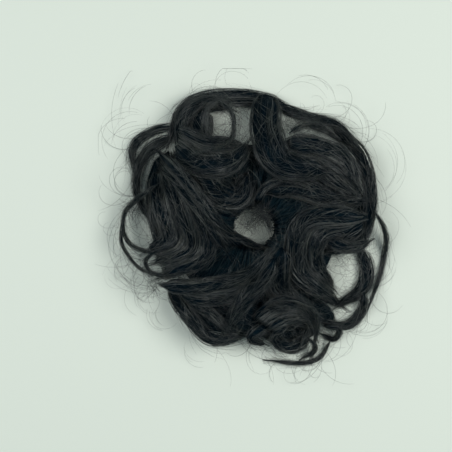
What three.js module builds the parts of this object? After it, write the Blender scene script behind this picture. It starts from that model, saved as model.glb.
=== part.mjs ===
// A messy-bun hair scrunchie lying on a table: curled locks of black hair, sewn in gathered
// wefts round an elastic band, piled one over another round a small open centre.
// Lengths are millimetres, +Z is up, and the origin is on the table under the middle of the pile.
import * as THREE from "three";

// Driving sizes
const hairRadius = 80; // from the middle of the pile to its outermost loops
const lockWidth = 20; // the broadest lock, measured across its belly
const lockThickness = 7.5; // the same lock, measured from its upper to its lower side
const lockRootShare = 0.85; // how broad a lock starts, as a share of its belly
const lockTipShare = 0.5; // how broad a lock still is just before its tip
const bellyPlace = 0.35; // where along a lock its belly lies
const layGap = 0.3; // air left between a lock and what it lies on
const steepestDrape = 0.75; // rise over run that a lock takes before it settles
const sag = 0.15; // how far a lock's own weight bends it between neighbouring steps
const bandOpening = 38; // inner diameter of the relaxed elastic band
const bandCord = 5; // thickness of the fabric-covered elastic
const bandFlat = 2.4; // width of the flat that the soft cover takes on the table
const weftOpening = 22; // clear width between the gathered wefts
const weftReach = 0.6125; // how far out the gathered wefts reach, as a share of hairRadius
const weftHeight = 11; // how high the gathered wefts stand over the band
const weftGathers = 10; // bunches that the wefts are gathered into
const gatherDepth = 1.4; // how far a bunch stands out past the stitches beside it
const holeX = -1.5; // the open centre, measured from the middle of the pile
const holeY = 0.5;

// How finely the pieces are faceted
const lockSides = 8;
const lockSteps = 13;
const strandSides = 6;
const strandSteps = 15;
const bandSteps = 36;
const bandSides = 9;
const weftSteps = 40;
const weftSides = 8;

// Places are in hundredths of hairRadius, widths in hundredths of lockWidth.
// A lock runs from its root through a shoulder and a belly to its tip.
// The rows stand in the order in which the locks lie, the lowest first.
const columns = [
  "name",
  ...["rootX", "rootY", "shoulderX", "shoulderY", "bellyX", "bellyY", "tipX", "tipY"],
  "width",
];

// Lowest locks, which fill the pile and show only as its dark depths
const underLocks = [
  ["left_under_lock", -66, 58, -74, 32, -72, 6, -62, -24, 75],
  ["lower_left_under_lock", -50, -50, -36, -64, -18, -70, 4, -76, 85],
  ["bottom_under_lock", -20, -58, 2, -70, 22, -78, 40, -80, 85],
  ["lower_right_under_lock", 24, -50, 40, -60, 52, -66, 56, -74, 70],
  ["right_under_lock", 84, 26, 76, 8, 66, -8, 50, -16, 90],
  ["upper_right_under_lock", 22, 58, 44, 54, 64, 40, 76, 20, 95],
  ["top_under_lock", -46, 62, -36, 52, -16, 50, 6, 56, 80],
  ["top_left_under_lock", -57, 66, -51, 83, -36, 93, -20, 92, 55],
];

// Locks that spring out round the edge of the pile
const edgeLocks = [
  ["upper_left_outer_lock", -58, 76, -79, 73, -93, 60, -91, 40, 26],
  ["upper_left_inner_lock", -60, 70, -82, 58, -90, 32, -80, 6, 34],
  ["left_side_lock", -60, 56, -74, 34, -77, 12, -73, -12, 32],
  ["bottom_left_outer_lock", -67, -44, -50, -65, -34, -82, -10, -81, 48],
  ["bottom_left_inner_lock", -50, -54, -38, -60, -30, -66, -22, -76, 34],
  ["right_rim_lock", 56, 79, 77, 54, 85, 20, 79, -12, 46],
  ["top_right_rim_lock", 14, 93, 36, 84, 61, 77, 76, 58, 32],
  ["right_loop_lock", 77, -14, 83, -28, 81, -44, 62, -58, 44],
  ["lower_right_lock", 81, -48, 79, -63, 69, -73, 52, -70, 30],
  ["crest_lock", 24, 92, -12, 98, -52, 91, -65, 64, 52],
];

// Curls on the left half
const leftLocks = [
  ["left_curl_inner_lock", -74, 44, -68, 12, -65, -7, -79, -16, 70],
  ["left_curl_middle_lock", -68, 46, -54, 12, -49, -15, -75, -25, 64],
  ["left_curl_outer_lock", -60, 44, -42, 12, -37, -19, -71, -36, 52],
  ["top_left_mass_lock", -40, 88, -41, 76, -44, 64, -46, 50, 74],
  ["top_left_curl_lock", -56, 54, -54, 80, -36, 95, -20, 89, 36],
  ["shell_top_lock", -58, 72, -38, 62, -20, 61, -6, 54, 48],
  ["shell_lower_lock", -41, 46, -29, 27, -14, 23, -6, 40, 84],
  ["shell_upper_lock", -60, 60, -42, 47, -20, 47, -8, 60, 76],
];

// Curls on the right half
const rightLocks = [
  ["mid_right_wavy_lock", 6, 27, 25, 31, 52, 23, 80, 20, 66],
  ["fan_lower_lock", 22, 54, 42, 46, 58, 36, 74, 24, 62],
  ["fan_upper_lock", 20, 63, 44, 59, 62, 52, 74, 32, 62],
  ["right_curl_core_lock", 78, 4, 66, -4, 58, -11, 50, -14, 56],
  ["right_curl_bridge_lock", 48, -4, 60, -13, 72, -14, 83, -10, 40],
  ["right_curl_inner_lock", 72, 2, 46, -4, 42, -24, 58, -46, 56],
  ["right_curl_outer_lock", 80, 8, 34, 4, 28, -28, 62, -58, 66],
  ["small_dark_lock", -1, 17, 5, 28, 12, 33, 22, 36, 26],
  ["s_lock", 8, 99, 7, 70, 16, 48, 50, 42, 96],
];

// Curls along the bottom
const bottomLocks = [
  ["lower_strand_lock", -58, -48, -38, -52, -18, -50, 2, -38, 44],
  ["middle_drop_lock", 18, -14, 15, -30, 17, -46, 30, -58, 76],
  ["fan_right_lock", 12, -22, 2, -38, -11, -54, -20, -70, 62],
  ["fan_left_lock", -72, -42, -38, -42, -8, -34, 8, -18, 48],
  ["bottom_lump_lock", 16, -70, 4, -74, -5, -81, 6, -87, 36],
  ["rosette_lower_lock", 40, -82, 26, -89, 14, -82, 20, -74, 42],
  ["rosette_upper_lock", 12, -78, 24, -68, 40, -73, 34, -85, 40],
  ["rosette_second_lock", 8, -74, 22, -67, 38, -67, 44, -81, 26],
  ["rosette_lit_lock", -2, -68, 12, -58, 30, -58, 42, -68, 34],
  ["little_curl_lock", 50, -73, 62, -75, 59, -84, 50, -80, 20],
];

// Locks that cross over the others
const crossingLocks = [
  ["diagonal_lower_lock", -73, 50, -54, 29, -37, 6, -24, -16, 34],
  ["diagonal_upper_lock", -74, 58, -50, 33, -23, -1, 5, -16, 32],
];

// Thin loose strands, of strandSides by strandSteps facets
const strands = [
  ["left_loop_strand", -72, 33, -99, 10, -95, -11, -72, -20, 14],
  ["left_thread_strand", -98, 12, -100, -12, -88, -29, -72, -36, 8],
  ["left_ring_strand", -74, -17, -82, -24, -79, -32, -66, -35, 11],
  ["ring_strand", -30, 96, -18, 84, -20, 63, -40, 54, 11],
  ["upper_right_strand", 23, 69, 35, 76, 48, 75, 62, 66, 22],
  ["right_outer_strand", 86, 14, 97, -6, 94, -34, 84, -58, 15],
  ["rosette_outer_strand", -2, -63, 18, -51, 43, -62, 42, -96, 14],
  ["bottom_loop_strand", 56, -84, 48, -98, 30, -102, 12, -100, 10],
  ["rosette_tuft_strand", 38, -82, 44, -88, 43, -93, 35, -98, 14],
];

const hairMaterial = new THREE.MeshStandardMaterial({ color: 0x16191c, roughness: 0.45, metalness: 0 });
const depthMaterial = new THREE.MeshStandardMaterial({ color: 0x0b0d0f, roughness: 0.6, metalness: 0 });
const bandMaterial = new THREE.MeshStandardMaterial({ color: 0x111111, roughness: 0.9, metalness: 0 });

// A table's rows as objects that know their columns
function rowsOf(table) {
  return table.map((row) => Object.fromEntries(columns.map((column, place) => [column, row[place]])));
}

// A closed mesh's geometry from its corners and its triangles
function closedGeometry(corners, triangles) {
  const geometry = new THREE.BufferGeometry();
  geometry.setAttribute("position", new THREE.Float32BufferAttribute(corners.flat(), 3));
  geometry.setIndex(triangles.flat());
  geometry.computeVertexNormals();
  return geometry;
}

// A closed ring round the open centre: sectionAt gives the outline [radius, height] at an angle
function ringGeometry(steps, sides, sectionAt) {
  const corners = [];
  const triangles = [];
  for (let step = 0; step < steps; step++) {
    const angle = (2 * Math.PI * step) / steps;
    for (const [radius, height] of sectionAt(angle))
      corners.push([holeX + radius * Math.cos(angle), holeY + radius * Math.sin(angle), height]);
    const next = ((step + 1) % steps) * sides;
    for (let side = 0; side < sides; side++) {
      const beside = (side + 1) % sides;
      const [a, b] = [step * sides + side, step * sides + beside];
      const [c, d] = [next + side, next + beside];
      triangles.push([a, c, b], [b, c, d]);
    }
  }
  return closedGeometry(corners, triangles);
}

// The elastic's section: a circle whose underside is pressed flat by the table
const bandRadius = bandCord / 2;
const flatAngle = Math.asin(bandFlat / bandCord);
const bandMiddle = bandRadius * Math.cos(flatAngle);

function bandSection() {
  const sweep = 2 * Math.PI - 2 * flatAngle;
  const outline = [];
  for (let side = 0; side < bandSides; side++) {
    const angle = -Math.PI / 2 + flatAngle + (sweep * side) / (bandSides - 1);
    outline.push([
      bandOpening / 2 + bandRadius + bandRadius * Math.cos(angle),
      bandMiddle + bandRadius * Math.sin(angle),
    ]);
  }
  return outline;
}

// The gathered wefts' section: a flattened roll that swells at each bunch
function weftSection(angle) {
  const bunch = gatherDepth * Math.cos(weftGathers * angle);
  const inner = weftOpening / 2;
  const outer = hairRadius * weftReach + bunch;
  const foot = bandMiddle + bandRadius + layGap;
  const round = 1 / Math.cos(Math.PI / weftSides);
  const outline = [];
  for (let side = 0; side < weftSides; side++) {
    const turn = (2 * Math.PI * (side + 0.5)) / weftSides;
    outline.push([
      (inner + outer) / 2 + ((outer - inner) / 2) * round * Math.cos(turn),
      foot + ((weftHeight + bunch) / 2) * (1 + round * Math.sin(turn)),
    ]);
  }
  return outline;
}

// The pile so far, as the height of its upper side over each small square of the table
const squareSize = 0.7;
const settlePasses = 80;
const mapSpan = 3; // how many hair radii the squares span
const squares = Math.ceil((mapSpan * hairRadius) / squareSize);
const pile = new Float32Array(squares * squares);

function squareOf(x, y) {
  const column = Math.floor(x / squareSize + squares / 2);
  const row = Math.floor(y / squareSize + squares / 2);
  return row * squares + column;
}

function pileTop(x, y) {
  const middle = squareOf(x, y);
  let top = 0;
  for (const row of [-squares, 0, squares])
    for (const column of [-1, 0, 1]) top = Math.max(top, pile[middle + row + column]);
  return top;
}

// Calls visit(point, shares) for points spread evenly over a triangle, closer together than a square
function eachPoint(corners, visit) {
  const [a, b, c] = corners;
  const longest = Math.max(a.distanceTo(b), b.distanceTo(c), c.distanceTo(a));
  const parts = Math.ceil(longest / squareSize);
  const point = new THREE.Vector3();
  for (let i = 0; i <= parts; i++)
    for (let j = 0; j <= parts - i; j++) {
      const shares = [1 - (i + j) / parts, i / parts, j / parts];
      point.copy(a).multiplyScalar(shares[0]);
      point.addScaledVector(b, shares[1]);
      point.addScaledVector(c, shares[2]);
      visit(point, shares);
    }
}

function addToPile(geometry) {
  const position = geometry.getAttribute("position");
  const index = geometry.getIndex().array;
  for (let corner = 0; corner < index.length; corner += 3) {
    const three = [0, 1, 2].map((k) => index[corner + k]);
    const corners = three.map((one) => new THREE.Vector3().fromBufferAttribute(position, one));
    eachPoint(corners, (point) => {
      const square = squareOf(point.x, point.y);
      pile[square] = Math.max(pile[square], point.z);
    });
  }
}

// How full a lock is at a share of its length: round at the root, widest at the belly, slim at the tip
function fullness(share) {
  if (share < bellyPlace) {
    const rise = Math.sin((Math.PI / 2) * (share / bellyPlace));
    return lockRootShare + (1 - lockRootShare) * rise;
  }
  const fall = (share - bellyPlace) / (1 - bellyPlace);
  return 1 - (1 - lockTipShare) * fall * fall;
}

// Lays one lock on the pile and returns its geometry
function laidLock(row, sides, steps) {
  const route = [
    ["rootX", "rootY"],
    ["shoulderX", "shoulderY"],
    ["bellyX", "bellyY"],
    ["tipX", "tipY"],
  ].map(([x, y]) => new THREE.Vector3(row[x], row[y], 0).multiplyScalar(hairRadius / 100));
  const curve = new THREE.CatmullRomCurve3(route, false, "centripetal");
  const halfWidth = ((row.width / 100) * lockWidth) / 2;
  const halfThickness = (Math.sqrt(row.width / 100) * lockThickness) / 2;

  // Corners round a centre line that still lies level, with the step each belongs to
  const flat = [];
  const stepOf = [];
  const places = [];
  for (let step = 0; step <= steps; step++) {
    const share = step / steps;
    const place = curve.getPointAt(share);
    const along = curve.getTangentAt(share);
    places.push(place);
    const atEnd = step === 0 || step === steps;
    for (let side = 0; side < (atEnd ? 1 : sides); side++) {
      const turn = (2 * Math.PI * side) / sides;
      const across = atEnd ? 0 : halfWidth * fullness(share) * Math.cos(turn);
      const up = atEnd ? 0 : halfThickness * fullness(share) * Math.sin(turn);
      flat.push(new THREE.Vector3(place.x - along.y * across, place.y + along.x * across, up));
      stepOf.push(step);
    }
  }
  const triangles = [];
  const ring = (step, side) => 1 + (step - 1) * sides + (side % sides);
  const last = flat.length - 1;
  for (let side = 0; side < sides; side++) {
    triangles.push([0, ring(1, side + 1), ring(1, side)]);
    for (let step = 1; step < steps - 1; step++) {
      const [a, b] = [ring(step, side), ring(step, side + 1)];
      const [c, d] = [ring(step + 1, side), ring(step + 1, side + 1)];
      triangles.push([a, b, c], [b, d, c]);
    }
    triangles.push([last, ring(steps - 1, side), ring(steps - 1, side + 1)]);
  }

  // What lies under the lock, as the height that each point of it needs. A point's own height is
  // shared out between the two steps it lies between, and each step keeps what it carries.
  const contacts = Array.from({ length: steps + 1 }, () => []);
  const needed = new Array(steps + 1).fill(0);
  for (const triangle of triangles)
    eachPoint(triangle.map((corner) => flat[corner]), (point, shares) => {
      const below = pileTop(point.x, point.y);
      const height = (below > 0 ? below + layGap : 0) - point.z;
      const lower = Math.min(...triangle.map((corner) => stepOf[corner]));
      let upperShare = 0;
      triangle.forEach((corner, place) => {
        if (stepOf[corner] > lower) upperShare += shares[place];
      });
      if (upperShare > 0) contacts[lower + 1].push([height, upperShare, lower]);
      if (upperShare < 1) contacts[lower].push([height, 1 - upperShare, lower + 1]);
      needed[lower] = Math.max(needed[lower], height);
      needed[lower + 1] = Math.max(needed[lower + 1], height);
    });

  // The lock is let down from above, then settles until it rests on what it crosses
  const heights = places.map((place) =>
    Math.max(...needed.map((need, other) => need - steepestDrape * place.distanceTo(places[other]))),
  );
  for (let pass = 0; pass < settlePasses; pass++)
    for (let step = 0; step <= steps; step++) {
      const lowest = contacts[step].reduce(
        (most, [height, share, other]) => Math.max(most, (height - (1 - share) * heights[other]) / share),
        -Infinity,
      );
      const straight =
        step === 0
          ? 2 * heights[1] - heights[2]
          : step === steps
            ? 2 * heights[steps - 1] - heights[steps - 2]
            : (heights[step - 1] + heights[step + 1]) / 2;
      heights[step] = Math.max(lowest, Math.min(heights[step], straight - sag));
    }

  const geometry = closedGeometry(
    flat.map(({ x, y, z }, corner) => [x, y, z + heights[stepOf[corner]]]),
    triangles,
  );
  addToPile(geometry);
  return geometry;
}

const hairpiece = new THREE.Group();

function addPiece(name, geometry, material) {
  const mesh = new THREE.Mesh(geometry, material);
  mesh.name = name;
  hairpiece.add(mesh);
}

const bandGeometry = ringGeometry(bandSteps, bandSides, bandSection);
addPiece("elastic_band", bandGeometry, bandMaterial);
addToPile(bandGeometry);

const weftGeometry = ringGeometry(weftSteps, weftSides, weftSection);
addPiece("gathered_wefts", weftGeometry, depthMaterial);
addToPile(weftGeometry);

for (const table of [underLocks, edgeLocks, leftLocks, rightLocks, bottomLocks, crossingLocks]) {
  const material = table === underLocks ? depthMaterial : hairMaterial;
  for (const row of rowsOf(table)) addPiece(row.name, laidLock(row, lockSides, lockSteps), material);
}
for (const row of rowsOf(strands))
  addPiece(row.name, laidLock(row, strandSides, strandSteps), hairMaterial);

// The origin goes under the middle of the pile
const bounds = new THREE.Box3().setFromObject(hairpiece, true);
const middle = bounds.getCenter(new THREE.Vector3());
hairpiece.position.set(-middle.x, -middle.y, -bounds.min.z);

export default hairpiece;
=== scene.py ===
import math

import bpy
import numpy as np
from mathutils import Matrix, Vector


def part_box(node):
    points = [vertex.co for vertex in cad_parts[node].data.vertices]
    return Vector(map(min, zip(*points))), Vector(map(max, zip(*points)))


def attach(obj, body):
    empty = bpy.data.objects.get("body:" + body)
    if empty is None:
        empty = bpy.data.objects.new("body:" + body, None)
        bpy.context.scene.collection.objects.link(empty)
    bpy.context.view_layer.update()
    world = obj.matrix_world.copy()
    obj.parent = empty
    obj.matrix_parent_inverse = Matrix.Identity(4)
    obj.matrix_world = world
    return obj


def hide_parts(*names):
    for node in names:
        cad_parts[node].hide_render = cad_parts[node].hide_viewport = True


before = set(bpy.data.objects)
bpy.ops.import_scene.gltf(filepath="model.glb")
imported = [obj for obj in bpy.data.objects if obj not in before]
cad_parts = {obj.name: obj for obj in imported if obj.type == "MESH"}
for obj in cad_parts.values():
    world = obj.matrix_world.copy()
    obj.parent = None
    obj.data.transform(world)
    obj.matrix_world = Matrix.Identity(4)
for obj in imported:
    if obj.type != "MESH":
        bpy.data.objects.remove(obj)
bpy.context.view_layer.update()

# The hair's finish. Silky black synthetic fibre: nearly black, grey where a tuft faces the light,
# and with a grey sheen painted into its colour in streaks, brown in places, and patches of painted
# shade that are rougher and less shiny. Every hair mesh has a map whose first coordinate crosses
# the tufts and whose second runs along them, so streaks follow the hair.
STRAND_MAP = "OFBake"
BLACK = (0.0002, 0.0032, 0.0072, 1)
# the grey sheen painted into the tufts' colour, and the brown it turns in places
PAINTED_SHEEN_GREY = (0.0860, 0.0940, 0.0800, 1)
BROWN = (0.0960, 0.0860, 0.0660, 1)
PALE_SHEEN = (0.95, 1.0, 1.0, 1)
COOL_SHEEN = (0.35, 0.80, 1.0, 1)
# how often each changes across and along the hair
TUFT_STREAKS = (480, 1.3)
FIBRE_STREAKS = (840, 5.0)
BROWN_PATCHES = (23, 0.7)
# the patches painted in shade
SHADED_PATCHES = (9, 2.4)
GLOSS_SPREAD = 0.16
RIDGE_HEIGHT = 0.0003
# the patches of painted shade: black, rougher and less shiny than the rest
SHADED_PATCH_ROUGHNESS = 0.55
SHADED_PATCH_SHINE = 0.12


class Wire:
    """A shader value that can be added to, taken from and multiplied."""

    def __init__(self, tree, socket):
        self.tree = tree
        self.socket = socket

    def node(self, kind, settings=None, inputs=None, output=0):
        """Adds a node of any kind: its settings first, then the values or wires of its sockets."""
        made = self.tree.nodes.new(kind)
        for name, value in (settings or {}).items():
            if name == "stops":
                while len(made.color_ramp.elements) < len(value):
                    made.color_ramp.elements.new(0.5)
                for element, (place, shade) in zip(made.color_ramp.elements, value):
                    element.position = place
                    element.color = (shade, shade, shade, 1)
            else:
                setattr(made, name, value)
        for name, value in (inputs or {}).items():
            if isinstance(value, Wire):
                self.tree.links.new(value.socket, made.inputs[name])
            else:
                made.inputs[name].default_value = value
        return Wire(self.tree, made.outputs[output])

    def maths(self, operation, first, second):
        return self.node("ShaderNodeMath", {"operation": operation}, {0: first, 1: second})

    def __add__(self, other):
        return self.maths("ADD", self, other)

    def __mul__(self, other):
        return self.maths("MULTIPLY", self, other)

    def __sub__(self, other):
        return self.maths("SUBTRACT", self, other)

    def __rsub__(self, other):
        return self.maths("SUBTRACT", other, self)

    __radd__ = __add__
    __rmul__ = __mul__


def new_material(name):
    """A bare material, its Principled shader, and a wire to start from."""
    material = bpy.data.materials.new(name)
    material.use_nodes = True
    shader = material.node_tree.nodes["Principled BSDF"]
    return material, shader, Wire(material.node_tree, None)


def streaks(wire, across, along, detail=3.0):
    """Noise drawn out along the hair, from 0 to 1: across and along are how often it changes."""
    place = wire.node("ShaderNodeUVMap", {"uv_map": STRAND_MAP})
    drawn = wire.node("ShaderNodeMapping", {}, {"Vector": place, "Scale": (across, along, 1)})
    return wire.node(
        "ShaderNodeTexNoise",
        {"noise_dimensions": "2D"},
        {"Vector": drawn, "Scale": 1.0, "Detail": detail, "Roughness": 0.6},
    )


def hair_material(name, lightness, roughness, shine, sheen):
    material, shader, wire = new_material(name)
    tuft = streaks(wire, *TUFT_STREAKS)
    fibre = streaks(wire, *FIBRE_STREAKS, detail=2.0)
    # painted sheen: each streak of tufts is painted from black towards the sheen grey
    painted_sheen_share = tuft.node("ShaderNodeValToRGB", {"stops": [(0.50, 0.0), (0.63, 1.0)]}, {0: tuft})
    warm = tuft.node(
        "ShaderNodeValToRGB",
        {"stops": [(0.60, 0.0), (0.78, 0.7)]},
        {0: streaks(wire, *BROWN_PATCHES)},
    )
    lit = wire.node("ShaderNodeMix", {"data_type": "RGBA"}, {0: warm, 6: PAINTED_SHEEN_GREY, 7: BROWN}, 2)
    # lightness is how much painted sheen this copy gets; a low lightness paints the copy in shade
    mixed = wire.node("ShaderNodeMix", {"data_type": "RGBA"}, {0: lightness * painted_sheen_share, 6: BLACK, 7: lit}, 2)
    shade = wire.node("ShaderNodeHueSaturation", {}, {"Value": 0.2 + 1.6 * fibre, "Color": mixed})
    tree = material.node_tree
    tree.links.new(shade.socket, shader.inputs["Base Color"])
    gloss = roughness + GLOSS_SPREAD * tuft - GLOSS_SPREAD / 2
    tree.links.new(gloss.socket, shader.inputs["Roughness"])
    shader.inputs["Specular IOR Level"].default_value = shine
    shader.inputs["Specular Tint"].default_value = sheen
    ridges = wire.node("ShaderNodeBump", {}, {"Strength": 0.5, "Distance": RIDGE_HEIGHT, "Height": fibre})
    tree.links.new(ridges.socket, shader.inputs["Normal"])
    # patches of painted shade: a black, rougher, less shiny shader mixed in across the lock
    shaded_patch_shader = wire.node(
        "ShaderNodeBsdfPrincipled",
        {},
        {
            "Base Color": BLACK,
            "Roughness": SHADED_PATCH_ROUGHNESS,
            "Specular IOR Level": SHADED_PATCH_SHINE,
            "Specular Tint": COOL_SHEEN,
            "Normal": ridges,
        },
    )
    outside_shaded_patch = wire.node(
        "ShaderNodeValToRGB",
        {"stops": [(0.35, 0.0), (0.54, 1.0)]},
        {0: streaks(wire, *SHADED_PATCHES)},
    )
    shown = wire.node("ShaderNodeMixShader", {}, {0: outside_shaded_patch, 1: shaded_patch_shader, 2: Wire(tree, shader.outputs[0])})
    tree.links.new(shown.socket, tree.nodes["Material Output"].inputs["Surface"])
    return material


# The lit hair and three darker copies of it, painted in shade: for locks and wefts that lie under other
# hair, for the sunken tufts between the bunches, and for the cores.
hair = hair_material("hair", 1.0, 0.31, 1.0, PALE_SHEEN)
shaded_hair = hair_material("shaded_hair", 0.3, 0.45, 0.35, COOL_SHEEN)
sunken_shaded_hair = hair_material("sunken_shaded_hair", 0.10, 0.5, 0.12, COOL_SHEEN)
inner_hair = hair_material("inner_hair", 0.02, 0.75, 0.05, COOL_SHEEN)


# The course of a lock. Each lock's solid is rings of corners between a point at its root and
# a point at its tip, so the hair takes its line, breadth and depth from the solid itself.
def corners_and_neighbours(node):
    """The solid's corners, each once, and the corners that each is joined to."""
    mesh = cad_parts[node].data
    loose = np.array([corner.co for corner in mesh.vertices])
    corners, joined = np.unique(np.round(loose, 6), axis=0, return_inverse=True)
    joined = joined.reshape(-1)
    neighbours = [set() for _ in corners]
    for edge in mesh.edges:
        one, other = (int(joined[corner]) for corner in edge.vertices)
        if one != other:
            neighbours[one].add(other)
            neighbours[other].add(one)
    return corners, neighbours


def rings_from(point, neighbours):
    """The corners in rings, each one step farther from the point."""
    rings, met = [[point]], {point}
    while rings[-1]:
        reached = {beside for corner in rings[-1] for beside in neighbours[corner]} - met
        met |= reached
        rings.append(sorted(reached))
    return rings[:-1]


def smooth_between(values, wanted):
    """Values at even shares of a length, read at the wanted shares along a smooth curve."""
    spans = len(values) - 1
    place = np.clip(np.asarray(wanted) * spans, 0, spans - 1e-9)
    before = place.astype(int)
    part = (place - before).reshape((-1,) + (1,) * (values.ndim - 1))
    slopes = np.gradient(values, axis=0)
    one, other = values[before], values[before + 1]
    rise, fall = slopes[before], slopes[before + 1]
    return (
        one * (1 + 2 * part) * (1 - part) ** 2
        + other * part**2 * (3 - 2 * part)
        + rise * part * (1 - part) ** 2
        - fall * part**2 * (1 - part)
    )


UP = np.array([0.0, 0.0, 1.0])
ROOT_FULLNESS = 0.45
# breadth and depth of the ends, as shares of the ring beside them
ROOT_SHARES = (0.7, 0.6)
TIP_SHARES = (0.35, 0.4)


class Course:
    """A lock's middle line, half breadth and half depth, at shares of its length from root to tip."""

    def __init__(self, middles, breadths, depths):
        self.middles, self.breadths, self.depths = middles, breadths, depths
        self.root_fullness = ROOT_FULLNESS
        self.length = float(np.linalg.norm(np.diff(middles, axis=0), axis=1).sum())

    def at(self, shares):
        """Middle, direction across, half breadth and half depth at each share."""
        inside = np.clip(shares, 0, 1)
        middle = smooth_between(self.middles, inside)
        ahead = smooth_between(self.middles, np.clip(inside + 0.01, 0, 1))
        behind = smooth_between(self.middles, np.clip(inside - 0.01, 0, 1))
        along = ahead - behind
        heading = along / np.maximum(np.linalg.norm(along, axis=1), 1e-9)[:, None]
        middle = middle + heading * ((np.asarray(shares) - inside) * self.length)[:, None]
        across = np.cross(UP, along)
        across /= np.maximum(np.linalg.norm(across, axis=1), 1e-9)[:, None]
        return (
            middle,
            across,
            smooth_between(self.breadths, inside),
            smooth_between(self.depths, inside),
        )


def course_of(node):
    corners, neighbours = corners_and_neighbours(node)
    ends = [
        corner
        for corner, beside in enumerate(neighbours)
        if all(len(neighbours[other]) == 5 for other in beside)
    ]
    rings = [corners[ring] for ring in rings_from(ends[0], neighbours)]
    reach = [np.linalg.norm(ring - ring.mean(0), axis=1).max() for ring in rings]
    if reach[1] < reach[-2]:
        rings, reach = rings[::-1], reach[::-1]
    middles = np.array([ring.mean(0) for ring in rings])
    breadths, depths = np.array(reach), np.array([np.ptp(ring[:, 2]) / 2 for ring in rings])
    breadths[0], depths[0] = ROOT_SHARES[0] * breadths[1], ROOT_SHARES[1] * depths[1]
    breadths[-1], depths[-1] = TIP_SHARES[0] * breadths[-2], TIP_SHARES[1] * depths[-2]
    return Course(middles, breadths, depths)


# Hair meshes. A lock is a closed core painted dark as shade, ribbed along its length like combed
# hair, under tufts that are flattened, tapered and pointed at both ends.
MM = 0.001
FLOOR_SKIN = 0.05 * MM
# where on the map the tufts begin, after the cores, and where the sunken ones do
TUFT_MAP = 0.5
SUNKEN_MAP = 0.75
WIDE_MAP = 0.49
NARROW_MAP = 0.24


def closed_tube(rings, mapped):
    """Points, faces and map of a tube through rings of points, closed by a point at each end."""
    count, sides = rings.shape[:2]
    points = np.concatenate([rings.reshape(-1, 3), rings[[0, -1]].mean(1)])
    points[:, 2] = np.maximum(points[:, 2], FLOOR_SKIN)
    side = np.arange(sides)
    beside = (side + 1) % sides
    start = np.arange(count - 1)[:, None] * sides
    quads = np.stack([start + side, start + beside, start + sides + beside, start + sides + side], -1)
    first, last = count * sides, count * sides + 1
    caps = [[first, int(b), int(a)] for a, b in zip(side, beside)]
    end = (count - 1) * sides
    caps += [[last, int(end + a), int(end + b)] for a, b in zip(side, beside)]
    low, high = mapped
    u = low + (high - low) * np.arange(sides + 1) / sides
    v = np.arange(count) / (count - 1)
    low_v, high_v = np.meshgrid(v[:-1], u[:-1], indexing="ij"), np.meshgrid(v[1:], u[1:], indexing="ij")
    quad_map = np.stack(
        [
            np.stack([low_v[1], low_v[0]], -1),
            np.stack([high_v[1], low_v[0]], -1),
            np.stack([high_v[1], high_v[0]], -1),
            np.stack([low_v[1], high_v[0]], -1),
        ],
        2,
    ).reshape(-1, 4, 2)
    cap_map = [[[u[a], v[0]], [u[a + 1], v[0]], [u[a], v[0]]] for a in range(sides)]
    cap_map += [[[u[a], v[-1]], [u[a], v[-1]], [u[a + 1], v[-1]]] for a in range(sides)]
    return points, quads.reshape(-1, 4), np.array(caps), quad_map, np.array(cap_map)


def tufts(paths, facing, half_width, mapped):
    """Many flattened tufts at once: paths and facing are (tuft, step, 3), half_width (tuft, step)."""
    count, steps = paths.shape[:2]
    along = np.gradient(paths, axis=1)
    sideways = np.cross(along, facing)
    sideways /= np.maximum(np.linalg.norm(sideways, axis=2), 1e-12)[..., None]
    crown = np.cross(sideways, along)
    crown /= np.maximum(np.linalg.norm(crown, axis=2), 1e-12)[..., None]
    wide = half_width[..., None]
    rings = np.stack(
        [paths + sideways * wide, paths + crown * wide * 0.5, paths - sideways * wide], axis=2
    )
    points = rings.reshape(-1, 3)
    points[:, 2] = np.maximum(points[:, 2], FLOOR_SKIN)
    tuft = np.arange(count)[:, None, None] * steps * 3
    step = np.arange(steps - 1)[None, :, None] * 3
    side = np.arange(3)[None, None, :]
    beside = (side + 1) % 3
    here = tuft + step
    quads = np.stack([here + side, here + beside, here + 3 + beside, here + 3 + side], -1).reshape(-1, 4)
    ends = (steps - 1) * 3
    first = np.arange(count) * steps * 3
    caps = np.concatenate(
        [np.stack([first + 2, first + 1, first], -1), np.stack([first, first + 1, first + 2], -1) + ends]
    )
    breadth = 0.2 / max(count, 1)
    u = mapped[:, None, None] + breadth * side / 3
    u = np.broadcast_to(u, (count, steps - 1, 3))
    v = np.broadcast_to((np.arange(steps - 1) / (steps - 1))[None, :, None], u.shape)
    v_next = v + 1 / (steps - 1)
    u_next = u + breadth / 3
    quad_map = np.stack(
        [
            np.stack([u, v], -1),
            np.stack([u_next, v], -1),
            np.stack([u_next, v_next], -1),
            np.stack([u, v_next], -1),
        ],
        -2,
    ).reshape(-1, 4, 2)
    low = mapped[:, None] + breadth * np.arange(3) / 3
    cap_map = np.concatenate(
        [np.stack([low[:, ::-1], np.zeros_like(low)], -1), np.stack([low, np.ones_like(low)], -1)]
    )
    return points, quads, caps, quad_map, cap_map


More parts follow.
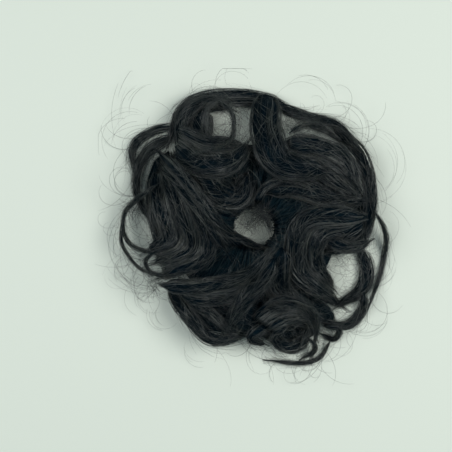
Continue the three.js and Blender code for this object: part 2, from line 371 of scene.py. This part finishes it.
def hair_object(name, parts, materials, slots):
    """One mesh from several parts, each with the number of its material in the list."""
    points, faces, face_map, face_material = [], [], [], []
    passed = 0
    for part, slot in zip(parts, slots):
        part_points, quads, caps, quad_map, cap_map = part
        points.append(part_points)
        faces += (quads + passed).tolist() + (caps + passed).tolist()
        face_map += [quad_map.reshape(-1, 2), cap_map.reshape(-1, 2)]
        face_material += [slot] * (len(quads) + len(caps))
        passed += len(part_points)
    mesh = bpy.data.meshes.new(name)
    mesh.from_pydata(np.concatenate(points), [], faces)
    layer = mesh.uv_layers.new(name=STRAND_MAP)
    layer.data.foreach_set("uv", np.concatenate(face_map).astype(np.float32).ravel())
    mesh.polygons.foreach_set("material_index", face_material)
    mesh.polygons.foreach_set("use_smooth", [True] * len(faces))
    for material in materials:
        mesh.materials.append(material)
    mesh.update()
    piece = bpy.data.objects.new(name, mesh)
    bpy.context.scene.collection.objects.link(piece)
    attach(piece, "root")
    return piece


CORE_SIDES = 28
CORE_STEP = 2.2 * MM
CORE_FULL = 0.80
PINCHED_SHARE = 0.14


def gathered(course, share):
    """How full a lock is near its root, where its hair is drawn together before it opens out."""
    opened = np.clip(share / PINCHED_SHARE, 0, 1)
    least = course.root_fullness
    return least + (1 - least) * opened * opened * (3 - 2 * opened)


def core(course, luck, full=CORE_FULL):
    """The ribbed body of a lock, a little slimmer than its solid; where it is used it is painted dark as
    shade.
    """
    steps = max(12, int(course.length / CORE_STEP))
    shares = np.linspace(0, 1, steps)
    middle, across, breadth, depth = course.at(shares)
    turn = np.linspace(0, 2 * np.pi, CORE_SIDES, endpoint=False)
    skin = np.full((steps, CORE_SIDES), full)
    for count, height in ((5, 0.05), (9, 0.05), (14, 0.04)):
        swing = 0.4 * np.sin(2 * np.pi * (shares * luck.uniform(0.5, 1.5) + luck.random()))
        drift = luck.uniform(0, 2 * np.pi) + luck.normal(0, 0.8) * shares + swing
        skin += height * np.cos(count * turn[None, :] + drift[:, None])
    pointed = np.clip(np.minimum(shares, 1 - shares) / 0.07, 0.02, 1) ** 0.6
    skin *= (gathered(course, shares) * pointed)[:, None]
    sides = across[:, None, :] * (breadth[:, None] * np.cos(turn) * skin)[..., None]
    rises = UP * (depth[:, None] * np.sin(turn) * skin)[..., None]
    return closed_tube(middle[:, None, :] + sides + rises, (0.0, TUFT_MAP))


def over_lock(course, share, turned, out):
    """Points at a share of the lock's length, turned round it, and the way its skin faces there."""
    shape = share.shape
    middle, across, breadth, depth = (
        value.reshape(shape + value.shape[1:]) for value in course.at(share.ravel())
    )
    breadth, depth = breadth * gathered(course, share), depth * gathered(course, share)
    side = (breadth * np.cos(turned) * out)[..., None] * across
    rise = (depth * np.sin(turned) * out)[..., None] * UP
    points = middle + side + rise
    facing = (np.cos(turned) / np.maximum(breadth, MM))[..., None] * across
    facing = facing + (np.sin(turned) / np.maximum(depth, MM))[..., None] * UP
    facing /= np.linalg.norm(facing, axis=-1)[..., None]
    return points, facing, across, breadth


def rolled(facing, paths, roll):
    """The facing direction leant over to one side of each path."""
    along = np.gradient(paths, axis=1)
    along /= np.maximum(np.linalg.norm(along, axis=2), 1e-12)[..., None]
    return facing * np.cos(roll)[..., None] + np.cross(along, facing) * np.sin(roll)[..., None]


TUFT_APART = 0.38 * MM
TUFT_STEP = 3.2 * MM
BUNCH_APART = 1.8 * MM
FLOOR_CLEAR = 0.3 * MM
PARTING = 0.13
SUNKEN_BELOW = 0.915


def lock_hair(course, luck, thickness=1.0, wild=1.0, lowest=-0.22, plenty=1.0, parting=PARTING):
    """The tufts over a lock, the upper and the sunken ones apart: combed along it in bunches that
    part a little, with a few that stray."""
    around = 2.1 * course.breadths.max() + 2.0 * course.depths.max()
    count = max(14, int(plenty * 1.5 * around / TUFT_APART))
    steps = int(np.clip(course.length / TUFT_STEP, 9, 28))
    bunches = max(3, int(around / BUNCH_APART))
    bunch = luck.integers(0, bunches, count)
    span = 1 - 2 * lowest
    places = np.arange(bunches) + luck.uniform(0.15, 0.85, bunches)
    centre = (np.pi * (lowest + span * places / bunches))[bunch]
    apart = luck.normal(0, 0.5, count)
    turn = centre + apart * np.pi * span / bunches
    loose = luck.random(count) < 0.08 * wild
    relief = luck.uniform(-0.07, 0.06, bunches)[bunch] - 0.13 * apart**2
    out = np.where(loose, luck.uniform(1.03, 1.20, count), luck.uniform(0.92, 1.02, count) + relief)
    start = 0.14 * luck.random(count) ** 1.5 - 0.01
    stop = 1.04 - 0.24 * luck.random(count) ** 2 * np.where(loose, 2, 1)
    share = start[:, None] + (stop - start)[:, None] * np.linspace(0, 1, steps)
    beat = luck.uniform(0.5, 1.4, bunches)[bunch][:, None]
    shift = luck.uniform(0, 2 * np.pi, bunches)[bunch][:, None]
    own_beat = luck.uniform(0.8, 2.2, count)[:, None]
    own_shift = luck.uniform(0, 2 * np.pi, count)[:, None]
    wave = parting * np.sin(2 * np.pi * beat * share + shift)
    own = np.where(loose, 0.25, 0.05)[:, None] * np.sin(2 * np.pi * own_beat * share + own_shift)
    pointed = 1 - 0.5 * np.clip((share - 0.7) / 0.3, 0, 1) ** 2
    turned = centre[:, None] + (turn - centre)[:, None] * pointed + wave + own
    swell = 1 + 0.03 * np.sin(2 * np.pi * own_beat * share - own_shift)
    bulge = 0.6 * (parting - PARTING) * np.sin(2 * np.pi * share * 1.3 * beat - shift)
    swell = out[:, None] * swell * (1 + bulge)
    paths, facing, across, breadth = over_lock(course, share, turned, swell)
    frayed = np.clip((share - 0.72) / 0.3, 0, 1) ** 2
    fray = luck.normal(0, 0.30, count)[:, None] * frayed * np.maximum(breadth, 2 * MM)
    paths = paths + fray[..., None] * across
    paths[..., 2] = np.maximum(paths[..., 2], FLOOR_CLEAR)
    roll = luck.normal(0, 0.30, bunches)[bunch] + luck.normal(0, 0.38, count)
    roll = roll[:, None] + 0.2 * np.sin(2 * np.pi * share + own_shift)
    taper = np.sin(np.pi * np.linspace(0.02, 0.99, steps)) ** 0.5
    half_width = (0.06 + 0.27 * luck.random(count) ** 1.5) * np.where(loose, 0.5, 1) * MM * thickness
    half_width = half_width[:, None] * taper
    facing = rolled(facing, paths, roll)
    place = 0.235 * (bunch + 0.8 * luck.random(count)) / bunches
    # the sunken tufts are kept apart, to be painted in shade
    sunken = ~loose & (out < SUNKEN_BELOW)
    return [
        tufts(paths[part], facing[part], half_width[part], start_of_map + place[part])
        for part, start_of_map in ((~sunken, TUFT_MAP), (sunken, SUNKEN_MAP))
    ]


FRIZZ_APART = 0.5 * MM
FRIZZ_STEPS = 7


def frizz(course, luck, plenty=1.0):
    """Single hairs that work loose: some drift off the lock's sides, some cross over it."""
    count = int(plenty * course.length / FRIZZ_APART)
    run = luck.uniform(9, 34, count) * MM / course.length
    start = luck.uniform(0.02, 0.98, count) * np.clip(1.05 - 0.5 * run, 0.4, 1)
    part = np.linspace(0, 1, FRIZZ_STEPS)[None, :]
    share = np.minimum(start[:, None] + run[:, None] * part, 1.12)
    crossing = luck.random(count) < 0.55
    side = luck.choice([-1, 1], count)
    turn = np.where(side > 0, luck.uniform(0.0, 0.25, count), luck.uniform(0.75, 1.0, count)) * np.pi
    swing = np.where(crossing, side * luck.uniform(0.8, 2.2, count), luck.normal(0, 0.2, count))
    turned = turn[:, None] + swing[:, None] * part
    out = luck.uniform(1.0, 1.1, count)[:, None] + 0.06 * np.sin(7 * part + turn[:, None])
    paths, facing, across, _ = over_lock(course, share, turned, out)
    away = np.where(crossing, 0.6, side * luck.lognormal(0.75, 0.65, count)) * MM
    paths = paths + (away[:, None] * part**1.7)[..., None] * across
    paths[..., 2] += luck.uniform(-1.5, 2.5, count)[:, None] * MM * part
    paths[..., 2] = np.maximum(paths[..., 2], FLOOR_CLEAR)
    half_width = luck.uniform(0.04, 0.09, count) * np.where(crossing, 1.5, 1) * MM
    half_width = half_width[:, None] * np.sin(np.pi * (0.1 + 0.87 * part)) ** 0.4
    return tufts(paths, facing, half_width, TUFT_MAP + NARROW_MAP * luck.random(count))


# The elastic band. A round elastic in a knitted cover, pressed flat where it rests, that
# the wefts are sewn to. The cover is ribbed by the turns of its knitting.
BAND_BLACK = (0.010, 0.010, 0.011, 1)
BAND_GREY = (0.030, 0.030, 0.032, 1)
BAND_TURNS = 150
KNIT_HEIGHT = 0.00012


def band_material():
    material, shader, wire = new_material("knitted_cover")
    place = wire.node("ShaderNodeUVMap", {"uv_map": STRAND_MAP})
    drawn = wire.node("ShaderNodeMapping", {}, {"Vector": place, "Scale": (BAND_TURNS, 12, 1)})
    knit = wire.node(
        "ShaderNodeTexWave",
        {"wave_type": "BANDS", "bands_direction": "DIAGONAL"},
        {"Vector": drawn, "Scale": 1.0, "Distortion": 1.2, "Detail": 2.0},
        1,
    )
    colour = wire.node("ShaderNodeMix", {"data_type": "RGBA"}, {0: knit, 6: BAND_BLACK, 7: BAND_GREY}, 2)
    tree = material.node_tree
    tree.links.new(colour.socket, shader.inputs["Base Color"])
    shader.inputs["Roughness"].default_value = 0.88
    raised = wire.node("ShaderNodeBump", {}, {"Strength": 0.8, "Distance": RIDGE_HEIGHT, "Height": knit})
    tree.links.new(raised.socket, shader.inputs["Normal"])
    return material


band_low, band_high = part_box("elastic_band")
band_middle = np.array((band_low + band_high) / 2)
band_outer = (band_high.x - band_low.x) / 2
band_depth = band_high.z - band_low.z
band_cord = 2.5 * MM
band_ring = band_outer - band_cord


def band_points():
    rounds, sides = 300, 24
    angle = np.linspace(0, 2 * np.pi, rounds, endpoint=False)[:, None]
    turn = np.linspace(0, 2 * np.pi, sides, endpoint=False)[None, :]
    knit = band_cord + KNIT_HEIGHT * np.cos(BAND_TURNS * angle + 2 * turn) - KNIT_HEIGHT
    radius = band_ring + knit * np.cos(turn)
    height = np.maximum(band_depth - band_cord + knit * np.sin(turn), 0)
    return np.stack(
        [band_middle[0] + radius * np.cos(angle), band_middle[1] + radius * np.sin(angle), height], -1
    )


def ring_part(rings, mapped=1.0):
    """A ring that closes on itself, in the same form as a tube's part, over a share of the map."""
    count, sides = rings.shape[:2]
    side = np.arange(sides)
    beside = (side + 1) % sides
    here = np.arange(count)[:, None] * sides
    there = (here + sides) % (count * sides)
    quads = np.stack([here + beside, here + side, there + side, there + beside], -1).reshape(-1, 4)
    u = np.broadcast_to(side / sides, (count, sides))
    v = np.broadcast_to((mapped * np.arange(count) / count)[:, None], (count, sides))
    du, dv = 1 / sides, mapped / count
    quad_map = np.stack(
        [
            np.stack([v, u + du], -1),
            np.stack([v, u], -1),
            np.stack([v + dv, u], -1),
            np.stack([v + dv, u + du], -1),
        ],
        2,
    ).reshape(-1, 4, 2)
    return rings.reshape(-1, 3), quads, np.zeros((0, 3), int), quad_map, np.zeros((0, 3, 2))


band = hair_object("elastic_band_cover", [ring_part(band_points())], [band_material()], [0])
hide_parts("elastic_band")


# The gathered wefts. The roots of all the locks, folded over the band and sewn down in
# bunches: a flattened ring of hair that runs outward from the open centre.
weft_low, weft_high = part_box("gathered_wefts")
weft_middle = np.array((weft_low + weft_high) / 2)
weft_corners = np.array([corner.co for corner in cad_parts["gathered_wefts"].data.vertices])
weft_reach = np.linalg.norm(weft_corners[:, :2] - weft_middle[:2], axis=1)
weft_inner, weft_outer = weft_reach.min(), weft_reach.max()
weft_tall = weft_high.z - weft_low.z
BUNCHES = 30
BUNCH_RISE = 0.05
WEFT_BREADTH = 0.97
WEFT_DEPTH = 0.94


def weft_place(angle, turn, full):
    """A point of the wefts: turn runs round the roll's section, full is 1 on its skin."""
    bunch = 1 + BUNCH_RISE * np.cos(BUNCHES * angle + 1.5 * np.sin(5 * angle)) * full
    middle = (weft_inner + weft_outer) / 2
    half = (weft_outer - weft_inner) / 2
    radius = middle + half * WEFT_BREADTH * full * np.cos(turn)
    height = weft_middle[2] + weft_tall / 2 * WEFT_DEPTH * full * np.sin(turn) * bunch
    return np.stack(
        [weft_middle[0] + radius * np.cos(angle), weft_middle[1] + radius * np.sin(angle), height], -1
    )


def weft_hair(luck):
    count, steps = 520, 12
    angle = luck.uniform(0, 2 * np.pi, count)
    lower = luck.random(count) < 0.3
    share = np.linspace(0, 1, steps)[None, :]
    swirl = luck.normal(0.25, 0.22, count)[:, None] * share + 0.05 * np.sin(
        2 * np.pi * (share + luck.random(count)[:, None])
    )
    first = np.where(lower, 1.02 * np.pi, luck.uniform(0.78, 1.12, count) * np.pi)[:, None]
    last = np.where(lower, 1.95 * np.pi, luck.uniform(0.0, 0.35, count) * np.pi)[:, None]
    turn = first + (last - first) * share
    full = luck.uniform(0.97, 1.05, count)[:, None] + 0.015 * np.sin(9 * share + angle[:, None])
    paths = weft_place(angle[:, None] + swirl, turn, full)
    facing = weft_place(angle[:, None] + swirl, turn, full + 0.05) - paths
    facing /= np.linalg.norm(facing, axis=2)[..., None]
    width = luck.uniform(0.18, 0.42, count)[:, None] * MM
    taper = np.sin(np.pi * np.linspace(0.04, 0.97, steps)) ** 0.5
    return tufts(paths, facing, width * taper[None, :], TUFT_MAP + WIDE_MAP * luck.random(count))


angles = np.linspace(0, 2 * np.pi, 180, endpoint=False)[:, None]
turns = np.linspace(0, 2 * np.pi, 36, endpoint=False)[None, :]
weft_rings = weft_place(angles + 0 * turns, turns + 0 * angles, 0.97)
wefts = hair_object(
    "gathered_weft_hair",
    [ring_part(weft_rings, TUFT_MAP), weft_hair(np.random.default_rng(3))],
    # both painted in shade, as the wefts lie under the locks
    [shaded_hair, inner_hair],
    [1, 0],
)
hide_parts("gathered_wefts")


# The locks. Each is one curl of hair, wound while warm so that it keeps its turn: a core painted
# dark as shade under combed tufts, rooted in the wefts and thinning towards its tip.
courses = {
    node: course_of(node)
    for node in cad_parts
    if node.endswith("_lock") or node.endswith("_strand")
}

PARTED_LOCKS = {
    "upper_left_outer_lock": 0.7,
    "upper_left_inner_lock": 0.6,
    "left_side_lock": 0.4,
    "bottom_left_outer_lock": 0.3,
    "right_rim_lock": 0.35,
    "top_right_rim_lock": 0.5,
    "right_loop_lock": 0.45,
    "lower_right_lock": 0.5,
    "crest_lock": 0.25,
    "top_left_curl_lock": 0.4,
    "little_curl_lock": 0.4,
}

courses["s_lock"].root_fullness = 0.95
courses["fan_left_lock"].root_fullness = 0.15

for number, (node, course) in enumerate(sorted(courses.items())):
    if not node.endswith("_lock"):
        continue
    luck = np.random.default_rng(100 + number)
    under = node.endswith("under_lock")
    parting = PARTED_LOCKS.get(node, PARTING)
    lock = hair_object(
        node.replace("_lock", "_hair"),
        [
            core(course, luck, CORE_FULL - 0.5 * (parting - PARTING)),
            *lock_hair(course, luck, parting=parting),
            frizz(course, luck, 0.5 if under else 1.0),
        ],
        # painted shade on locks that lie under others, on the cores and on the sunken tufts
        [shaded_hair if under else hair, inner_hair, sunken_shaded_hair],
        [1, 0, 2, 0],
    )
    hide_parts(node)


# Hair that bridges neighbouring locks. Curls that were wound side by side keep a thin layer
# of hair between them, so that they read as one sheet.
NEIGHBOURS = [
    ("left_curl_inner_lock", "left_curl_middle_lock"),
    ("left_curl_middle_lock", "left_curl_outer_lock"),
    ("right_curl_inner_lock", "right_curl_outer_lock"),
    ("fan_lower_lock", "fan_upper_lock"),
    ("lower_strand_lock", "fan_left_lock"),
    ("shell_upper_lock", "shell_top_lock"),
    ("rosette_second_lock", "rosette_lit_lock"),
    ("diagonal_lower_lock", "diagonal_upper_lock"),
]


def bridging_hair(one, other, luck, count=110, steps=20):
    share = np.linspace(0.03, 0.97, steps)
    across = luck.uniform(-0.35, 1.35, count)[:, None, None]
    sides = []
    for course in (one, other):
        middle, _, _, depth = course.at(share)
        sides.append(middle + (0.95 * depth)[:, None] * UP)
    paths = sides[0][None] * (1 - across) + sides[1][None] * across
    edge = np.clip(np.abs(across - 0.5) * 2 - 0.4, 0, None)
    higher = np.maximum(sides[0][:, 2], sides[1][:, 2])[None, :]
    lower = np.minimum(sides[0][:, 2], sides[1][:, 2])[None, :]
    paths[..., 2] = np.clip(paths[..., 2], lower, higher) - 1.6 * MM * edge[..., 0]
    wave = luck.normal(0, 0.5, count)[:, None] * MM * np.sin(
        2 * np.pi * (share[None] * luck.uniform(0.6, 1.5, count)[:, None] + luck.random(count)[:, None])
    )
    paths[..., 2] += wave * 0.6
    paths[..., 0] += wave
    facing = np.broadcast_to(UP, paths.shape) + luck.normal(0, 0.3, (count, 1, 3))
    width = luck.uniform(0.14, 0.34, count)[:, None] * MM
    taper = np.sin(np.pi * np.linspace(0.02, 0.98, steps)) ** 0.5
    return tufts(paths, facing, width * taper[None, :], TUFT_MAP + WIDE_MAP * luck.random(count))


for number, (one, other) in enumerate(NEIGHBOURS):
    luck = np.random.default_rng(400 + number)
    bridge = hair_object(
        one.replace("_lock", "") + "_bridging_hair",
        [bridging_hair(courses[one], courses[other], luck)],
        [hair],
        [0],
    )


# The thin loose strands. A few dozen hairs each that have sprung out of the curls.
for number, (node, course) in enumerate(sorted(courses.items())):
    if not node.endswith("_strand"):
        continue
    luck = np.random.default_rng(500 + number)
    strand = hair_object(
        node + "_hair",
        [
            core(course, luck, 0.5),
            *lock_hair(course, luck, thickness=0.6, wild=4.0, lowest=-0.5, plenty=1.8, parting=0.6),
            frizz(course, luck),
        ],
        # painted shade on the core and the sunken tufts
        [hair, inner_hair, sunken_shaded_hair],
        [1, 0, 2, 0],
    )
    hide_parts(node)


# Flyaway hairs. Single hairs and the finest wisps that lift off the locks at the pile's edge
# and lie in open arcs round it.
FLYAWAY_REACH = 94 * MM
FLYAWAY_COUNT = 900


def flyaways(luck, count, steps=14):
    names = sorted(node for node in courses if "under" not in node)
    starts, headings = [], []
    for _ in range(count):
        course = courses[names[luck.integers(len(names))]]
        share = np.array([luck.uniform(0.05, 0.98)])
        middle, across, breadth, depth = course.at(share)
        ahead = course.at(share + 0.01)[0] - course.at(share - 0.01)[0]
        starts.append(middle[0] + across[0] * breadth[0] * luck.uniform(-1, 1) + UP * depth[0] * 0.8)
        headings.append(math.atan2(ahead[0, 1], ahead[0, 0]) + luck.normal(0, 0.35))
    starts, headings = np.array(starts), np.array(headings)
    length = luck.uniform(10, 44, count) * MM
    inward = np.sign(np.cos(headings) * -starts[:, 1] + np.sin(headings) * starts[:, 0])
    bend = np.where(luck.random(count) < 0.75, inward, -inward) * luck.uniform(0.6, 3.4, count)
    share = np.linspace(0, 1, steps)
    angle = headings[:, None] + bend[:, None] * share[None, :] * (0.6 + 0.8 * share[None, :])
    step = (length / (steps - 1))[:, None]
    x = starts[:, 0, None] + np.cumsum(np.cos(angle) * step, 1)
    y = starts[:, 1, None] + np.cumsum(np.sin(angle) * step, 1)
    lift = luck.uniform(-4, 5, count)[:, None] * MM * np.sin(np.pi * share)[None, :]
    z = np.maximum(starts[:, 2, None] + lift, FLOOR_CLEAR)
    paths = np.stack([x, y, z], -1)
    farthest = np.abs(paths[..., :2]).max((1, 2))
    begun = np.abs(paths[:, 0, :2]).max(1)
    shorter = np.clip((FLYAWAY_REACH - begun) / np.maximum(farthest - begun, 1e-9), 0, 1)
    paths[..., :2] = paths[:, :1, :2] + (paths[..., :2] - paths[:, :1, :2]) * shorter[:, None, None]
    facing = np.broadcast_to(UP, paths.shape)
    width = luck.uniform(0.035, 0.075, count)[:, None] * MM
    taper = np.sin(np.pi * np.linspace(0.1, 0.96, steps)) ** 0.4
    return tufts(paths, facing, width * taper[None, :], TUFT_MAP + WIDE_MAP * luck.random(count))


# Long hairs that curl in open arcs, in millimetres and degrees from the open centre:
# the arc's middle, its radius, where it begins, how far it turns, how high it lies, how many hairs
# there are and how far they stand apart.
ARC_COLUMNS = ("x", "y", "radius", "begins", "turns", "height", "hairs", "apart")
ARCS = [
    (-26, 61, 15, -70, 330, 27, 34, 2.6),
    (-31, 70, 52, 152, 46, 3, 3, 3.0),
    (-60, 67, 18, 110, 100, 6, 4, 2.0),
    (51, 57, 18, -35, 150, 14, 4, 1.2),
    (67, 37, 20, -45, 130, 8, 5, 2.0),
    (-14, 84, 11, 30, 150, 14, 4, 3.0),
    (30, 72, 15, 20, 150, 12, 4, 2.5),
    (-72, 52, 15, 80, 150, 5, 5, 2.5),
    (-62, -40, 10, 130, 170, 2, 7, 3.0),
    (-50, -54, 9, 150, 160, 2, 5, 3.5),
    (-72, -28, 9, 90, 180, 2, 4, 2.5),
    (-30, -68, 10, 170, 130, 2, 3, 4.0),
    (20, -74, 9, 190, 120, 2, 3, 4.0),
    (72, -20, 15, -80, 130, 2, 4, 2.5),
    (66, -52, 14, -110, 130, 2, 4, 3.0),
    (-1, 3, 12, 20, 110, 13, 9, 1.6),
    (3, 1, 11, -60, 100, 12, 8, 1.6),
    (-17, 63, 12, 95, 170, 24, 50, 1.2),
    (-3, -2.5, 13.2, 5, 85, 17, 80, 0.8),
    (-4, 3, 10, 100, 60, 16, 30, 0.8),
    (-60, -10, 28, 215, 60, 9, 14, 2.5),
]


def one_for_each_hair(columns, table):
    """The table's columns, with every row as often as it has hairs."""
    rows = [row for row in table for _ in range(row[columns.index("hairs")])]
    return dict(zip(columns, np.array(rows, float).T))


def arc_hairs(luck, steps=22):
    value = one_for_each_hair(ARC_COLUMNS, ARCS)
    count = len(value["hairs"])
    share = np.linspace(0, 1, steps)[None, :]
    begins = np.radians(value["begins"] + luck.normal(0, 14, count))[:, None]
    turns = np.radians(value["turns"] * luck.uniform(0.5, 1.1, count))[:, None]
    angle = begins + turns * share
    radius = value["radius"] * luck.uniform(0.9, 1.08, count)
    radius = radius[:, None] * (1 + luck.normal(0, 0.10, count)[:, None] * share)
    x = weft_middle[0] / MM + value["x"] + luck.normal(0, 1, count) * value["apart"]
    y = weft_middle[1] / MM + value["y"] + luck.normal(0, 1, count) * value["apart"]
    reach = FLYAWAY_REACH / MM
    x = np.clip(x[:, None] + radius * np.cos(angle), -reach, reach)
    y = np.clip(y[:, None] + radius * np.sin(angle), -reach, reach)
    rise = luck.uniform(-1, 3, count)[:, None] * np.sin(np.pi * share)
    z = np.maximum(value["height"][:, None] + rise, FLOOR_CLEAR / MM)
    paths = np.stack([x, y, z], -1) * MM
    facing = np.broadcast_to(UP, paths.shape)
    half_width = luck.uniform(0.03, 0.07, count)[:, None] * MM * np.sin(np.pi * (0.1 + 0.86 * share)) ** 0.4
    return tufts(paths, facing, half_width, TUFT_MAP + WIDE_MAP * luck.random(count))


# Fine hairs that criss-cross an opening between locks, in millimetres from the open centre: the
# opening's middle, how far they spread across and up it, how high they lie and how many there are.
VEIL_SPREAD = 0.6
VEIL_COLUMNS = ("x", "y", "across", "up", "height", "hairs")
VEILS = [
    (-14, 63, 6, 7, 16, 45),
    (24, 60, 6, 5, 16, 90),
    (36, 56, 7, 3, 16, 50),
    (2, 5, 5, 5, 12, 60),
    (-5, 1, 5, 4, 10, 25),
    (54, -20, 6, 6, 10, 30),
    (5, 8, 3, 3, 17, 80),
    (-61, 45, 4, 6, 14, 60),
    (-46, -28, 6, 2.5, 17, 90),
    (-59, -34, 4, 4, 17, 40),
    (-70, 10, 3, 2.5, 14, 60),
]


def veil_hairs(luck, steps=12):
    value = one_for_each_hair(VEIL_COLUMNS, VEILS)
    count = len(value["hairs"])
    share = np.linspace(-0.5, 0.5, steps)[None, :]
    heading = luck.uniform(0, 2 * np.pi, count)[:, None] + luck.uniform(-2.2, 2.2, count)[:, None] * share
    step = luck.uniform(8, 22, count)[:, None] / (steps - 1)
    x = np.cumsum(np.cos(heading) * step, 1)
    y = np.cumsum(np.sin(heading) * step, 1)
    halfway = steps // 2
    middle_x = value["x"] + VEIL_SPREAD * luck.normal(0, 1, count) * value["across"]
    middle_y = value["y"] + VEIL_SPREAD * luck.normal(0, 1, count) * value["up"]
    x += weft_middle[0] / MM + middle_x[:, None] - x[:, halfway, None]
    y += weft_middle[1] / MM + middle_y[:, None] - y[:, halfway, None]
    level = value["height"] + luck.uniform(-6, 6, count)
    slope = luck.normal(0, 4, count)
    z = level[:, None] + slope[:, None] * share
    paths = np.stack([x, y, np.maximum(z, FLOOR_CLEAR / MM)], -1) * MM
    facing = np.broadcast_to(UP, paths.shape)
    half_width = luck.uniform(0.03, 0.07, count)[:, None] * MM * np.cos(np.pi * 0.9 * share) ** 0.4
    return tufts(paths, facing, half_width, TUFT_MAP + NARROW_MAP * luck.random(count))


wisps = hair_object(
    "flyaway_hairs",
    [
        flyaways(np.random.default_rng(7), FLYAWAY_COUNT),
        arc_hairs(np.random.default_rng(11)),
        veil_hairs(np.random.default_rng(13)),
    ],
    [hair],
    [0, 0, 0],
)


# The surface it lies on, the light and the camera. A plain pale matt surface, a wide soft light
# from either side, and a camera that looks straight down.
FLOOR_SHADE = (0.67, 0.735, 0.67, 1)
FLOOR_PALE = (0.725, 0.79, 0.725, 1)
FLOOR_HALF = 3.0
floor_material, floor_shader, floor_wire = new_material("pale_surface")
mottle = floor_wire.node("ShaderNodeTexNoise", {}, {"Scale": 9.0, "Detail": 2.0})
floor_colour = floor_wire.node(
    "ShaderNodeMix",
    {"data_type": "RGBA"},
    {0: mottle, 6: FLOOR_SHADE, 7: FLOOR_PALE},
    2,
)
floor_material.node_tree.links.new(floor_colour.socket, floor_shader.inputs["Base Color"])
floor_shader.inputs["Roughness"].default_value = 0.8
floor_mesh = bpy.data.meshes.new("floor")
floor_mesh.from_pydata(
    [(FLOOR_HALF * x, FLOOR_HALF * y, 0) for x, y in ((-1, -1), (1, -1), (1, 1), (-1, 1))],
    [],
    [(0, 1, 2, 3)],
)
floor_mesh.materials.append(floor_material)
floor = bpy.data.objects.new("floor", floor_mesh)
bpy.context.scene.collection.objects.link(floor)


def soft_light(name, place, size, power, colour):
    light = bpy.data.lights.new(name, "AREA")
    light.shape = "DISK"
    light.size = size
    light.energy = power
    light.color = colour
    lamp = bpy.data.objects.new(name, light)
    lamp.location = place
    lamp.rotation_euler = (-Vector(place)).to_track_quat("-Z", "Y").to_euler()
    bpy.context.scene.collection.objects.link(lamp)


soft_light("window_light", (0.75, 0.08, 1.00), 0.9, 11.8, (1.0, 0.98, 0.93))
soft_light("second_window_light", (-0.70, 0.10, 0.95), 0.9, 7.0, (1.0, 0.99, 0.96))
world = bpy.data.worlds.new("room")
world.use_nodes = True
world.node_tree.nodes["Background"].inputs["Color"].default_value = (0.62, 0.85, 0.95, 1)
world.node_tree.nodes["Background"].inputs["Strength"].default_value = 0.17
bpy.context.scene.world = world
bpy.context.scene.view_settings.view_transform = "Standard"

PHOTO_PIXELS = 452
PIXEL = 0.605
PHOTO_SIDE = PHOTO_PIXELS * PIXEL * MM
CAMERA_HEIGHT = 0.75
SENSOR_WIDTH = 36
CAMERA_LEFT = 16.65 * MM
CAMERA_UP = 0.7 * MM
camera_data = bpy.data.cameras.new("camera")
camera_data.sensor_width = SENSOR_WIDTH
camera_data.lens = SENSOR_WIDTH * CAMERA_HEIGHT / PHOTO_SIDE
camera = bpy.data.objects.new("camera", camera_data)
camera.location = (weft_middle[0] - CAMERA_LEFT, weft_middle[1] + CAMERA_UP, CAMERA_HEIGHT)
bpy.context.scene.collection.objects.link(camera)
bpy.context.scene.camera = camera
